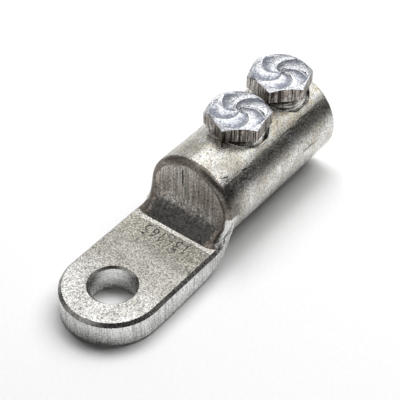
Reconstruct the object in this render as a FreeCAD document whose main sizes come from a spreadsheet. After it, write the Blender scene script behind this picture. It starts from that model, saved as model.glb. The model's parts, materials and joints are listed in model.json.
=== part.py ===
import FreeCAD, Part
import math
import os

import Sketcher
from FreeCAD import Placement, Rotation, Vector

# A mechanical cable lug in millimetres. The palm lies on the XY plane, the stud hole is centred on
# the origin, and the barrel runs along +X to its open mouth. Two shear bolts enter it from above.

# Every driving size: its name, its value and what it is.
DRIVING_SIZES = [
    ("palm_width", 29.4, "across the palm, also the diameter of its round end"),
    ("palm_thickness", 8.4, "height of the palm"),
    ("palm_flat_length", 26.5, "stud hole centre to the crease under the step"),
    ("palm_top_bevel", 0.95, "bevel round the palm's upper edge"),
    ("palm_foot_bevel", 0.8, "bevel round the palm's lower edge"),
    ("stud_hole_diameter", 13.0, "clearance hole for a 12 mm stud"),
    ("countersink_width", 0.65, "how much wider the hole is at the palm's top, on each side"),
    ("countersink_depth", 0.6, "depth of that countersink"),
    ("underside_bevel", 0.4, "bevel of the stud hole at the palm's underside"),
    ("step_radius", 8.0, "hollow curve from the palm up to the face of the step"),
    ("crease_angle", 10.8, "how steeply that curve leaves the palm, in degrees"),
    ("step_rim_rounding", 2.0, "rounding round the step, from the crease up over the arch"),
    ("shoulder_overlap", 3.0, "how far the shoulder starts inside the palm, before the crease"),
    ("heel_start", 1.0, "crease to the place where the palm starts to narrow"),
    ("heel_length", 10.0, "length over which the palm and the shoulder run into the barrel"),
    ("barrel_diameter", 28.2, "outside of the barrel"),
    ("barrel_axis_height", 14.6, "barrel axis above the palm's underside"),
    ("barrel_end_distance", 86.0, "stud hole centre to the barrel's mouth"),
    ("mouth_rounding", 1.1, "outer edge of the mouth"),
    ("bore_diameter", 16.5, "cable socket"),
    ("bore_drop", 1.6, "cable socket's axis below the barrel's axis, for a thick wall above"),
    ("bore_depth", 44.0, "straight part of the cable socket"),
    ("bore_mouth_bevel", 0.9, "bevel of the cable socket at the mouth"),
    ("drill_point_angle", 118.0, "cone at the socket's blind end, in degrees"),
    ("front_bolt_distance", 55.4, "stud hole centre to the bolt nearer the palm"),
    ("bolt_spacing", 20.3, "from one bolt's axis to the other's"),
    ("thread_diameter", 16.0, "outside of the bolts' thread"),
    ("thread_clearance", 0.08, "radial gap between thread and hole"),
    ("spot_face_diameter", 18.0, "flat-bottomed recess round each bolt"),
    ("spot_face_depth", 2.9, "floor of that recess below the barrel's crown"),
    ("bolt_length", 7.4, "head's underside to the bolt's tip"),
    ("tip_bevel", 0.9, "bevel at the bolt's tip"),
    ("thread_start_bevel", 0.5, "bevel where the thread starts under the neck"),
    ("neck_diameter", 13.8, "shear neck under the head"),
    ("neck_length", 1.2, "length of the shear neck"),
    ("head_width", 17.0, "head across its flats"),
    ("head_height", 4.5, "height of the head"),
    ("head_crown_diameter", 16.6, "flat circle on top of the head"),
    ("head_bevel_angle", 30.0, "slope of the head's bevelled corners, in degrees"),
    ("swirl_reach", 7.7, "outer radius of the swirl pressed into the head"),
    ("swirl_hub", 0.9, "radius where the swirl's blades start"),
    ("swirl_depth", 0.35, "depth of the swirl's blades"),
    ("swirl_blade_angle", 34.0, "width of one blade at its outer end, in degrees"),
    ("swirl_sweep_angle", 58.0, "how far a blade turns on its way out, in degrees"),
    ("swirl_bend", 5.6, "radius of a blade's curved sides"),
    ("swirl_blades", 5, "number of blades"),
    ("front_head_gap", 0.15, "front bolt's head above the barrel's crown"),
    ("rear_head_gap", 1.5, "rear bolt's head above the barrel's crown"),
    ("front_head_turn", 9.0, "angle of the front head's corner from +X, in degrees"),
    ("rear_head_turn", 17.1, "angle of the rear head's corner from +X, in degrees"),
]

# Sizes that follow from the driving ones, each with its formula in the sheet.
DERIVED_SIZES = [
    ("palm_half", "palm_width / 2"),
    ("palm_foot_half", "palm_half - palm_foot_bevel"),
    ("palm_bevel_start", "palm_thickness - palm_top_bevel"),
    ("palm_middle_height", "palm_bevel_start - palm_foot_bevel"),
    ("palm_top_half", "palm_half - palm_top_bevel"),
    ("shoulder_start", "palm_flat_length - shoulder_overlap"),
    ("heel_root", "shoulder_start - shoulder_overlap"),
    ("palm_end", "palm_flat_length + heel_start"),
    ("barrel_start", "palm_end + heel_length"),
    ("step_centre_x", "palm_flat_length - step_radius * sin(crease_angle * 1deg)"),
    ("step_centre_z", "palm_thickness + step_radius * cos(crease_angle * 1deg)"),
    ("step_face_x", "step_centre_x + step_radius"),
    ("step_clear_x", "palm_flat_length - step_radius"),
    ("barrel_radius", "barrel_diameter / 2"),
    ("barrel_crown", "barrel_axis_height + barrel_radius"),
    ("barrel_length", "barrel_end_distance - barrel_start"),
    ("above_barrel", "barrel_crown + barrel_radius"),
    ("shoulder_foot_z", "palm_thickness / 2"),
    ("shoulder_ring_half", "barrel_radius * sin(44deg)"),
    ("shoulder_ring_z", "barrel_axis_height - barrel_radius * cos(44deg)"),
    ("heel_foot_half", "barrel_radius * sin(36deg)"),
    ("heel_foot_z", "barrel_axis_height - barrel_radius * cos(36deg)"),
    ("heel_low_half", "barrel_radius * sin(45deg)"),
    ("heel_low_z", "barrel_axis_height - barrel_radius * cos(45deg)"),
    ("heel_side_half", "barrel_radius * sin(66deg)"),
    ("heel_side_z", "barrel_axis_height - barrel_radius * cos(66deg)"),
    ("heel_top_half", "barrel_radius * sin(72deg)"),
    ("heel_top_z", "barrel_axis_height - barrel_radius * cos(72deg)"),
    ("stud_radius", "stud_hole_diameter / 2"),
    ("stud_top_radius", "stud_radius + countersink_width"),
    ("stud_top_start", "palm_thickness - countersink_depth"),
    ("stud_foot_radius", "stud_radius + underside_bevel"),
    ("bore_radius", "bore_diameter / 2"),
    ("bore_axis_z", "barrel_axis_height - bore_drop"),
    ("bore_top_z", "bore_axis_z + bore_radius"),
    ("bore_rim_z", "bore_top_z + bore_mouth_bevel"),
    ("bore_bevel_x", "barrel_end_distance - bore_mouth_bevel"),
    ("bore_end_x", "barrel_end_distance - bore_depth"),
    ("bore_point_x", "bore_end_x - bore_radius / tan(drill_point_angle / 2 * 1deg)"),
    ("rear_bolt_distance", "front_bolt_distance + bolt_spacing"),
    ("thread_radius", "thread_diameter / 2"),
    ("hole_radius", "thread_radius + thread_clearance"),
    ("spot_face_radius", "spot_face_diameter / 2"),
    ("spot_face_z", "barrel_crown - spot_face_depth"),
    ("front_hole_x", "front_bolt_distance + hole_radius"),
    ("rear_hole_x", "rear_bolt_distance + hole_radius"),
    ("front_spot_x", "front_bolt_distance + spot_face_radius"),
    ("rear_spot_x", "rear_bolt_distance + spot_face_radius"),
    ("front_head_z", "barrel_crown + front_head_gap"),
    ("rear_head_z", "barrel_crown + rear_head_gap"),
    ("tip_radius", "thread_radius - tip_bevel"),
    ("tip_shoulder", "bolt_length - tip_bevel"),
    ("thread_top_radius", "thread_radius - thread_start_bevel"),
    ("thread_top", "neck_length + thread_start_bevel"),
    ("neck_radius", "neck_diameter / 2"),
    ("head_half", "head_width / 2"),
    ("head_corner", "head_half / cos(30deg)"),
    ("head_corner_half", "head_corner / 2"),
    ("head_crown_radius", "head_crown_diameter / 2"),
    ("head_outside", "head_corner + 1"),
    ("head_bevel_foot", "head_height - (head_outside - head_crown_radius) * tan(head_bevel_angle * 1deg)"),
    ("swirl_end_angle", "swirl_sweep_angle + swirl_blade_angle"),
]

# Slope of the palm's bevels, in degrees.
BEVEL_ANGLE = 45

doc = FreeCAD.newDocument("mechanical_lug")
sheet = doc.addObject("Spreadsheet::Sheet", "sizes")


def fill_sheet():
    """Writes each driving size as a number and each derived size as a formula."""
    rows = DRIVING_SIZES + [(name, "=" + formula, "") for name, formula in DERIVED_SIZES]
    for row, (name, content, meaning) in enumerate(rows, start=1):
        sheet.set("A%d" % row, name)
        sheet.set("B%d" % row, str(content))
        sheet.set("C%d" % row, meaning)
        sheet.setAlias("B%d" % row, name)
    doc.recompute()


def size(name):
    """The value of a named size, negative where the name starts with a minus sign."""
    value = float(sheet.get(name.lstrip("-")))
    return -value if name.startswith("-") else value


def link(name):
    """The expression that ties a property to a named size."""
    sign = "-" if name.startswith("-") else ""
    return sign + "sizes." + name.lstrip("-")


def new_body(name):
    """An empty body whose label is its file name."""
    body = doc.addObject("PartDesign::Body", name)
    body.Label = name
    return body


def sketch_on(body, plane, name, offset=None):
    """A sketch on one of the body's own planes, moved along its normal by a named size."""
    sketch = body.newObject("Sketcher::SketchObject", name)
    origin_plane = [p for p in body.Origin.OriginFeatures if p.Role == plane][0]
    sketch.AttachmentSupport = (origin_plane, [""])
    sketch.MapMode = "FlatFace"
    if offset is not None:
        sketch.AttachmentOffset = Placement(Vector(0, 0, size(offset)), Rotation())
        sketch.setExpression("AttachmentOffset.Base.z", link(offset))
    return sketch


def pin(sketch, curve, end, across, up):
    """Ties one end of a curve to named distances from the sketch's origin; 0 lies on its axis."""
    for kind, axis, name in (("DistanceX", -2, across), ("DistanceY", -1, up)):
        if name == "0":
            sketch.addConstraint(Sketcher.Constraint("PointOnObject", curve, end, axis))
        elif name:
            index = sketch.addConstraint(Sketcher.Constraint(kind, -1, 1, curve, end, size(name)))
            sketch.setExpression("Constraints[%d]" % index, link(name))


def spot(across, up):
    """The starting place of a point given by two names, before the constraints hold it."""
    return Vector(0 if across == "0" else size(across), 0 if up == "0" else size(up), 0)


def draw_outline(sketch, corners):
    """A closed loop of straight lines through named corners."""
    first = sketch.GeometryCount
    count = len(corners)
    for i, corner in enumerate(corners):
        following = corners[(i + 1) % count]
        sketch.addGeometry(Part.LineSegment(spot(*corner), spot(*following)), False)
    for i, corner in enumerate(corners):
        following = first + (i + 1) % count
        sketch.addConstraint(Sketcher.Constraint("Coincident", first + i, 2, following, 1))
        pin(sketch, first + i, 1, *corner)


def draw_ring_part(sketch, corners):
    """Arcs of the barrel's circle through named corners, closed by a straight line."""
    centre = Vector(0, size("barrel_axis_height"), 0)
    circle = Part.Circle(centre, Vector(0, 0, 1), size("barrel_radius"))
    spots = [spot(*corner) for corner in corners]
    angles = [math.atan2(point.y - centre.y, point.x) for point in spots]
    for start, end in zip(angles, angles[1:]):
        sketch.addGeometry(Part.ArcOfCircle(circle, start, end), False)
    sketch.addGeometry(Part.LineSegment(spots[-1], spots[0]), False)
    count = len(corners)
    for i, corner in enumerate(corners):
        sketch.addConstraint(Sketcher.Constraint("Coincident", i, 2, (i + 1) % count, 1))
        pin(sketch, i, 1, None, corner[1])
    for arc in range(count - 1):
        pin(sketch, arc, 3, "0", "barrel_axis_height")
    set_radius(sketch, 0, "barrel_radius")


def draw_axis(sketch, start, end):
    """A construction line to turn a profile about."""
    line = sketch.addGeometry(Part.LineSegment(spot(*start), spot(*end)), True)
    pin(sketch, line, 1, *start)
    pin(sketch, line, 2, *end)


def set_radius(sketch, curve, name):
    """Ties an arc's or a circle's radius to a named size."""
    index = sketch.addConstraint(Sketcher.Constraint("Radius", curve, size(name)))
    sketch.setExpression("Constraints[%d]" % index, link(name))


def pad(body, sketch, name, length):
    """Adds material along the sketch's normal."""
    feature = body.newObject("PartDesign::Pad", name)
    feature.Profile = sketch
    feature.Length = size(length)
    feature.setExpression("Length", link(length))
    doc.recompute()
    return feature


def turn(body, kind, sketch, name, axis):
    """Adds or cuts a full turn of a profile; kind is Revolution or Groove."""
    feature = body.newObject("PartDesign::" + kind, name)
    feature.Profile = sketch
    feature.ReferenceAxis = (sketch, [axis])
    feature.Angle = 360
    doc.recompute()
    return feature


def edges_where(feature, wanted):
    """Names of the feature's edges for which wanted(edge) is true."""
    edges = enumerate(feature.Shape.Edges, start=1)
    return ["Edge%d" % number for number, edge in edges if wanted(edge)]


def dress(body, kind, base, name, width, wanted):
    """A Fillet or Chamfer of a named width along the edges of base that are wanted."""
    feature = body.newObject("PartDesign::" + kind, name)
    feature.Base = (base, edges_where(base, wanted))
    prop = "Radius" if kind == "Fillet" else "Size"
    setattr(feature, prop, size(width))
    feature.setExpression(prop, link(width))
    doc.recompute()
    return feature


def lies_at(edge, x):
    """Whether the whole edge lies at one place along the barrel."""
    box = edge.BoundBox
    return abs(box.XMin - x) < 1e-4 and abs(box.XMax - x) < 1e-4


def bounds_step(edge):
    """Whether the edge is where the step's hollow or face meets the outside of the shoulder."""
    middle = edge.valueAt((edge.FirstParameter + edge.LastParameter) / 2)
    from_axis = math.hypot(middle.y, middle.z - size("barrel_axis_height"))
    outside = max(abs(middle.y), from_axis) > size("barrel_radius") - 0.5
    reach = math.hypot(middle.x - size("step_centre_x"), middle.z - size("step_centre_z"))
    in_hollow = abs(reach - size("step_radius")) < 1e-3
    return outside and (in_hollow or abs(middle.x - size("step_face_x")) < 1e-3)


def draw_palm(sketch):
    """The palm's outline: a half circle round the stud hole and straight sides to the shoulder."""
    half = size("palm_half")
    start = size("shoulder_start")
    round_end = Part.Circle(Vector(0, 0, 0), Vector(0, 0, 1), half)
    sketch.addGeometry(Part.ArcOfCircle(round_end, math.pi / 2, math.pi * 3 / 2), False)
    corners = [Vector(0, -half, 0), Vector(start, -half, 0), Vector(start, half, 0), Vector(0, half, 0)]
    for near, far in zip(corners, corners[1:]):
        sketch.addGeometry(Part.LineSegment(near, far), False)
    sketch.addConstraint(Sketcher.Constraint("Coincident", 0, 3, -1, 1))
    for curve, following in ((0, 1), (1, 2), (2, 3), (3, 0)):
        sketch.addConstraint(Sketcher.Constraint("Coincident", curve, 2, following, 1))
    sketch.addConstraint(Sketcher.Constraint("PointOnObject", 0, 1, -2))
    sketch.addConstraint(Sketcher.Constraint("PointOnObject", 0, 2, -2))
    sketch.addConstraint(Sketcher.Constraint("Horizontal", 1))
    sketch.addConstraint(Sketcher.Constraint("Vertical", 2))
    sketch.addConstraint(Sketcher.Constraint("Horizontal", 3))
    set_radius(sketch, 0, "palm_half")
    pin(sketch, 2, 1, "shoulder_start", None)


def build_palm(body):
    """The flat palm in three layers: an upright middle and a bevelled layer above and below."""
    middle = sketch_on(body, "XY_Plane", "palm_middle_outline", "palm_foot_bevel")
    draw_palm(middle)
    pad(body, middle, "palm_middle", "palm_middle_height")
    upper = sketch_on(body, "XY_Plane", "palm_upper_outline", "palm_bevel_start")
    draw_palm(upper)
    top = pad(body, upper, "palm_upper_bevel", "palm_top_bevel")
    top.TaperAngle = -BEVEL_ANGLE
    lower = sketch_on(body, "XY_Plane", "palm_lower_outline", "palm_foot_bevel")
    draw_palm(lower)
    foot = pad(body, lower, "palm_lower_bevel", "palm_foot_bevel")
    foot.Reversed = True
    foot.TaperAngle = -BEVEL_ANGLE
    doc.recompute()


def draw_shoulder(sketch, foot_half, foot_z, hanging):
    """The shoulder's section: an arch over sides that are upright, or that hang on as arcs."""
    radius = size("barrel_radius")
    centre = Vector(0, size("barrel_axis_height"), 0)
    foot = spot(foot_half, foot_z)
    crown = Part.Circle(centre, Vector(0, 0, 1), radius)
    sketch.addGeometry(Part.ArcOfCircle(crown, 0, math.pi), False)
    left = Vector(-foot.x, foot.y, 0)
    springing = Vector(radius, centre.y, 0)
    if hanging:
        down = math.atan2(foot.y - centre.y, foot.x)
        sketch.addGeometry(Part.ArcOfCircle(crown, math.pi, math.pi - down), False)
    else:
        sketch.addGeometry(Part.LineSegment(Vector(-radius, centre.y, 0), left), False)
    sketch.addGeometry(Part.LineSegment(left, foot), False)
    if hanging:
        sketch.addGeometry(Part.ArcOfCircle(crown, down, 0), False)
    else:
        sketch.addGeometry(Part.LineSegment(foot, springing), False)
    for curve, following in ((0, 1), (1, 2), (2, 3), (3, 0)):
        sketch.addConstraint(Sketcher.Constraint("Coincident", curve, 2, following, 1))
    pin(sketch, 0, 3, "0", "barrel_axis_height")
    set_radius(sketch, 0, "barrel_radius")
    pin(sketch, 0, 1, None, "barrel_axis_height")
    pin(sketch, 0, 2, None, "barrel_axis_height")
    if hanging:
        sketch.addConstraint(Sketcher.Constraint("Coincident", 1, 3, 0, 3))
        sketch.addConstraint(Sketcher.Constraint("Coincident", 3, 3, 0, 3))
        pin(sketch, 2, 1, None, foot_z)
        pin(sketch, 2, 2, None, foot_z)
    else:
        pin(sketch, 2, 1, "-" + foot_half, foot_z)
        pin(sketch, 2, 2, foot_half, foot_z)


def loft(body, name, sections):
    """A straight-sided body through sections along the barrel."""
    feature = body.newObject("PartDesign::AdditiveLoft", name)
    feature.Profile = sections[0]
    feature.Sections = sections[1:]
    feature.Ruled = True
    doc.recompute()


def build_shoulder(body):
    """The arched shoulder, whose upright sides turn into the barrel's round ones."""
    near = sketch_on(body, "YZ_Plane", "shoulder_near_end", "shoulder_start")
    draw_shoulder(near, "barrel_radius", "shoulder_foot_z", False)
    far = sketch_on(body, "YZ_Plane", "shoulder_far_end", "barrel_start")
    draw_shoulder(far, "shoulder_ring_half", "shoulder_ring_z", True)
    loft(body, "shoulder", [near, far])


def build_heel(body):
    """The palm's root and its way into the barrel, which is narrower than the spread palm."""
    palm = [
        ("-palm_top_half", "palm_thickness"), ("-palm_half", "palm_bevel_start"),
        ("-palm_half", "palm_foot_bevel"), ("-palm_foot_half", "0"), ("palm_foot_half", "0"),
        ("palm_half", "palm_foot_bevel"), ("palm_half", "palm_bevel_start"),
        ("palm_top_half", "palm_thickness"),
    ]
    ring = [
        ("-heel_top_half", "heel_top_z"), ("-heel_side_half", "heel_side_z"),
        ("-heel_low_half", "heel_low_z"), ("-heel_foot_half", "heel_foot_z"),
        ("heel_foot_half", "heel_foot_z"), ("heel_low_half", "heel_low_z"),
        ("heel_side_half", "heel_side_z"), ("heel_top_half", "heel_top_z"),
    ]
    root = sketch_on(body, "YZ_Plane", "heel_root_end", "heel_root")
    draw_outline(root, palm)
    near = sketch_on(body, "YZ_Plane", "heel_near_end", "palm_end")
    draw_outline(near, palm)
    far = sketch_on(body, "YZ_Plane", "heel_far_end", "barrel_start")
    draw_ring_part(far, ring)
    loft(body, "heel", [root, near, far])


def build_barrel(body):
    """The round barrel, solid until it is bored, with the outer edge of its mouth rounded."""
    sketch = sketch_on(body, "YZ_Plane", "barrel_circle", "barrel_start")
    centre = Vector(0, size("barrel_axis_height"), 0)
    sketch.addGeometry(Part.Circle(centre, Vector(0, 0, 1), size("barrel_radius")), False)
    pin(sketch, 0, 3, "0", "barrel_axis_height")
    set_radius(sketch, 0, "barrel_radius")
    barrel = pad(body, sketch, "barrel", "barrel_length")
    end = size("barrel_end_distance")
    dress(body, "Fillet", barrel, "mouth_rim", "mouth_rounding", lambda e: lies_at(e, end))


def cut_step(body):
    """Cuts the space above the palm: a hollow curve, then an upright face with a rounded rim."""
    sketch = sketch_on(body, "XZ_Plane", "step_profile")
    corners = [
        ("palm_flat_length", "palm_thickness"), ("palm_flat_length", "palm_bevel_start"),
        ("step_clear_x", "palm_bevel_start"), ("step_clear_x", "above_barrel"),
        ("step_face_x", "above_barrel"), ("step_face_x", "step_centre_z"),
    ]
    for near, far in zip(corners, corners[1:]):
        sketch.addGeometry(Part.LineSegment(spot(*near), spot(*far)), False)
    centre = spot("step_centre_x", "step_centre_z")
    curve = Part.Circle(centre, Vector(0, 0, 1), size("step_radius"))
    crease = math.radians(size("crease_angle")) - math.pi / 2
    sketch.addGeometry(Part.ArcOfCircle(curve, crease, 0), False)
    for line, corner in enumerate(corners[:-1]):
        pin(sketch, line, 1, *corner)
        if line:
            sketch.addConstraint(Sketcher.Constraint("Coincident", line - 1, 2, line, 1))
    sketch.addConstraint(Sketcher.Constraint("Coincident", 4, 2, 5, 2))
    sketch.addConstraint(Sketcher.Constraint("Coincident", 5, 1, 0, 1))
    pin(sketch, 4, 2, "step_face_x", "step_centre_z")
    pin(sketch, 5, 3, "step_centre_x", None)
    doc.recompute()
    cut = body.newObject("PartDesign::Pocket", "step_cut")
    cut.Profile = sketch
    cut.Type = "ThroughAll"
    cut.Midplane = True
    doc.recompute()
    dress(body, "Fillet", cut, "step_rim", "step_rim_rounding", bounds_step)


def bore_holes(body):
    """The stud hole, the blind cable socket and the two bolt holes with their recesses."""
    stud = sketch_on(body, "XZ_Plane", "stud_hole_profile")
    draw_outline(stud, [
        ("0", "0"), ("stud_foot_radius", "0"), ("stud_radius", "underside_bevel"),
        ("stud_radius", "stud_top_start"), ("stud_top_radius", "palm_thickness"),
        ("0", "palm_thickness"),
    ])
    turn(body, "Groove", stud, "stud_hole", "V_Axis")
    socket = sketch_on(body, "XZ_Plane", "cable_socket_profile")
    draw_axis(socket, ("bore_point_x", "bore_axis_z"), ("barrel_end_distance", "bore_axis_z"))
    draw_outline(socket, [
        ("bore_point_x", "bore_axis_z"), ("barrel_end_distance", "bore_axis_z"),
        ("barrel_end_distance", "bore_rim_z"), ("bore_bevel_x", "bore_top_z"),
        ("bore_end_x", "bore_top_z"),
    ])
    turn(body, "Groove", socket, "cable_socket", "Axis0")
    for place in ("front", "rear"):
        axis_x = place + "_bolt_distance"
        wall_x = place + "_hole_x"
        spot_x = place + "_spot_x"
        hole = sketch_on(body, "XZ_Plane", place + "_bolt_hole_profile")
        draw_axis(hole, (axis_x, "bore_axis_z"), (axis_x, "above_barrel"))
        draw_outline(hole, [
            (axis_x, "bore_axis_z"), (wall_x, "bore_axis_z"), (wall_x, "spot_face_z"),
            (spot_x, "spot_face_z"), (spot_x, "above_barrel"), (axis_x, "above_barrel"),
        ])
        turn(body, "Groove", hole, place + "_bolt_hole", "Axis0")


def build_lug():
    """The one-piece body of the lug."""
    body = new_body("lug_body")
    build_shoulder(body)
    cut_step(body)
    build_barrel(body)
    build_heel(body)
    build_palm(body)
    bore_holes(body)
    return body


def press_swirl(body):
    """The swirl of curved blades pressed into the top of a bolt's head."""
    sketch = sketch_on(body, "XY_Plane", "swirl_blade", "head_height")
    hub = size("swirl_hub")
    reach = size("swirl_reach")
    bend = size("swirl_bend")
    sweep = math.radians(size("swirl_sweep_angle"))
    width = math.radians(size("swirl_blade_angle"))
    start = Vector(hub, 0, 0)
    ends = [Vector(reach * math.cos(a), -reach * math.sin(a), 0) for a in (sweep, sweep + width)]
    for end in ends:
        sketch.addGeometry(Part.LineSegment(Vector(0, 0, 0), end), True)
    for end in ends:
        chord = end - start
        sideways = Vector(-chord.y, chord.x, 0).normalize()
        distance = math.sqrt(bend ** 2 - (chord.Length / 2) ** 2)
        centre = start + chord * 0.5 - sideways * distance
        begin_angle = math.atan2(end.y - centre.y, end.x - centre.x)
        end_angle = math.atan2(start.y - centre.y, start.x - centre.x)
        side = Part.Circle(centre, Vector(0, 0, 1), bend)
        sketch.addGeometry(Part.ArcOfCircle(side, begin_angle, end_angle), False)
    rim = Part.Circle(Vector(0, 0, 0), Vector(0, 0, 1), reach)
    sketch.addGeometry(Part.ArcOfCircle(rim, -sweep - width, -sweep), False)
    sketch.addConstraint(Sketcher.Constraint("Coincident", 2, 2, 3, 2))
    sketch.addConstraint(Sketcher.Constraint("Coincident", 2, 1, 4, 2))
    sketch.addConstraint(Sketcher.Constraint("Coincident", 3, 1, 4, 1))
    sketch.addConstraint(Sketcher.Constraint("Coincident", 4, 3, -1, 1))
    for line, side, name in ((0, 2, "swirl_sweep_angle"), (1, 3, "swirl_end_angle")):
        sketch.addConstraint(Sketcher.Constraint("Coincident", line, 1, -1, 1))
        sketch.addConstraint(Sketcher.Constraint("Coincident", line, 2, side, 1))
        index = sketch.addConstraint(Sketcher.Constraint("Angle", line, -math.radians(size(name))))
        sketch.setExpression("Constraints[%d]" % index, "-sizes.%s * 1deg" % name)
        set_radius(sketch, side, "swirl_bend")
    set_radius(sketch, 4, "swirl_reach")
    pin(sketch, 2, 2, "swirl_hub", "0")
    doc.recompute()
    blade = body.newObject("PartDesign::Pocket", "swirl_pocket")
    blade.Profile = sketch
    blade.Length = size("swirl_depth")
    blade.setExpression("Length", link("swirl_depth"))
    doc.recompute()
    swirl = body.newObject("PartDesign::PolarPattern", "swirl")
    swirl.Originals = [blade]
    swirl.Axis = (sketch, ["N_Axis"])
    swirl.Angle = 360
    body.Tip = swirl
    swirl.Occurrences = int(size("swirl_blades"))
    swirl.setExpression("Occurrences", link("swirl_blades"))
    doc.recompute()


def build_bolt(place):
    """A shear bolt: turned shank and neck, bevelled hexagonal head with a swirl on top."""
    body = new_body("shear_bolt_" + place)
    shank = sketch_on(body, "XZ_Plane", "shank_profile")
    draw_outline(shank, [
        ("0", "-bolt_length"), ("tip_radius", "-bolt_length"), ("thread_radius", "-tip_shoulder"),
        ("thread_radius", "-thread_top"), ("thread_top_radius", "-neck_length"),
        ("neck_radius", "-neck_length"), ("neck_radius", "0"), ("0", "0"),
    ])
    turn(body, "Revolution", shank, "shank", "V_Axis")
    hexagon = sketch_on(body, "XY_Plane", "head_outline")
    draw_outline(hexagon, [
        ("head_corner", "0"), ("head_corner_half", "head_half"), ("-head_corner_half", "head_half"),
        ("-head_corner", "0"), ("-head_corner_half", "-head_half"), ("head_corner_half", "-head_half"),
    ])
    pad(body, hexagon, "head", "head_height")
    bevel = sketch_on(body, "XZ_Plane", "head_bevel_profile")
    draw_outline(bevel, [
        ("head_crown_radius", "head_height"), ("head_outside", "head_bevel_foot"),
        ("head_outside", "head_height"),
    ])
    turn(body, "Groove", bevel, "head_bevel", "V_Axis")
    press_swirl(body)
    head_z = place + "_head_z"
    axis_x = place + "_bolt_distance"
    head_turn = place + "_head_turn"
    body.Placement = Placement(Vector(size(axis_x), 0, size(head_z)), Rotation(size(head_turn), 0, 0))
    body.setExpression("Placement.Base.x", link(axis_x))
    body.setExpression("Placement.Base.z", link(head_z))
    body.setExpression("Placement.Rotation.Angle", link(head_turn) + " * 1deg")
    doc.recompute()
    return body


def export(body):
    """Writes one body's solid and stops if it or any of its features is broken."""
    for feature in body.Group + [body]:
        if "Invalid" in feature.State or "Error" in feature.State:
            raise RuntimeError("%s is broken: %s" % (feature.Name, feature.State))
    shape = body.Shape
    if not shape.isValid() or len(shape.Solids) != 1:
        raise RuntimeError(body.Label + " is not one valid solid")
    shape.exportStep(os.path.join("parts", body.Label + ".step"))
    print(body.Label, "volume %.1f mm3" % shape.Volume, "box", shape.BoundBox)


os.makedirs("parts", exist_ok=True)
fill_sheet()
for piece in (build_lug(), build_bolt("front"), build_bolt("rear")):
    export(piece)
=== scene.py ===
"""Dressed model of an aluminium cable lug with two hexagon-headed shear bolts, in a studio."""

from __future__ import annotations

import logging
import math
from contextlib import contextmanager
from dataclasses import dataclass
from enum import Enum
from typing import Any, Iterator, Mapping, Optional, Sequence, Union

import bmesh
import bpy
from bpy.types import Material, Mesh, NodeSocket, NodeTree, Object
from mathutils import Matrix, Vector
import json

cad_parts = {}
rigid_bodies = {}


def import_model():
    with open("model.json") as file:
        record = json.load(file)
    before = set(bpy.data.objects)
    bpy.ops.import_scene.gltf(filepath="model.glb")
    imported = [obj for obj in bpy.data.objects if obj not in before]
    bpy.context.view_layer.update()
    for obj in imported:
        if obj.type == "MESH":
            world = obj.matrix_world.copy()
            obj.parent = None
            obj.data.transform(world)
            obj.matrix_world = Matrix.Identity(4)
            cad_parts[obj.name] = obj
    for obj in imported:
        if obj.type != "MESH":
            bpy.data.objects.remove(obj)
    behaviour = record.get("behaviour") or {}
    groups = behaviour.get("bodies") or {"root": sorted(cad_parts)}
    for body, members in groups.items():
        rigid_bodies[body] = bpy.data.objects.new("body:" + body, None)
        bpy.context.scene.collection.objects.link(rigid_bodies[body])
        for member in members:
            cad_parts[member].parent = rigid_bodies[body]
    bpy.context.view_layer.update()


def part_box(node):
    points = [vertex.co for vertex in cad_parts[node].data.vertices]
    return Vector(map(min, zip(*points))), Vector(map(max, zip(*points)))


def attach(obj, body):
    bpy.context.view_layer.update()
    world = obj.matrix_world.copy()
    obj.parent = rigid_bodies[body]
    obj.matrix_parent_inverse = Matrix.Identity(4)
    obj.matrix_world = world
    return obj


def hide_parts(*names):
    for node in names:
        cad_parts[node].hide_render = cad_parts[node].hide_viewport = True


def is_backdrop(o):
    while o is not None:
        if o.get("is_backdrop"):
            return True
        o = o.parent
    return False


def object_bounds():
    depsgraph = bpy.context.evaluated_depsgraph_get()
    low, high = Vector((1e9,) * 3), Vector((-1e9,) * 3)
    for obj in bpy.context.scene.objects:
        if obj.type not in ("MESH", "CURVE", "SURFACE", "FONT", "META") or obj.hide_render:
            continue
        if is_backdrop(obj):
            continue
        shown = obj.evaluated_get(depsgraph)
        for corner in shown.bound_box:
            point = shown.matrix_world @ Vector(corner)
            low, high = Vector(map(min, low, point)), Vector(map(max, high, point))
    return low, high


LOG = logging.getLogger("cable_lug")
TAU = 2.0 * math.pi
# Sizes and places are in mm, and are multiplied by MM where Blender takes metres.
MM = 0.001
BARREL_AXIS = 14.6
BARREL_RADIUS = 14.1
TOUCHING = 0.01
NEAR = 0.02
WELD_DISTANCE = 2e-6
TUBE_SIDES = 8
HEXAGON_SIDES = 6.0
BLOTCH_SIZE = 7.0
PIT_SIZE = 0.8
# Between which values a noise goes from not showing to showing in full.
GRAIN_SPAN = (0.4, 0.6)
BLOTCH_SPAN = (0.42, 0.6)
GRIME_SPAN = (0.3, 0.62)
PIT_SPAN = (0.57, 0.68)
LINE_SPAN = (0.42, 0.56)
LINE_SOIL_SPAN = (0.54, 0.68)
MOST_SOIL = 0.92

Value = Union["Term", float]
Colour = tuple[float, float, float]
Place = tuple[float, float, float]
Span = tuple[float, float]
Section = tuple[float, Sequence[Span]]


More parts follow.
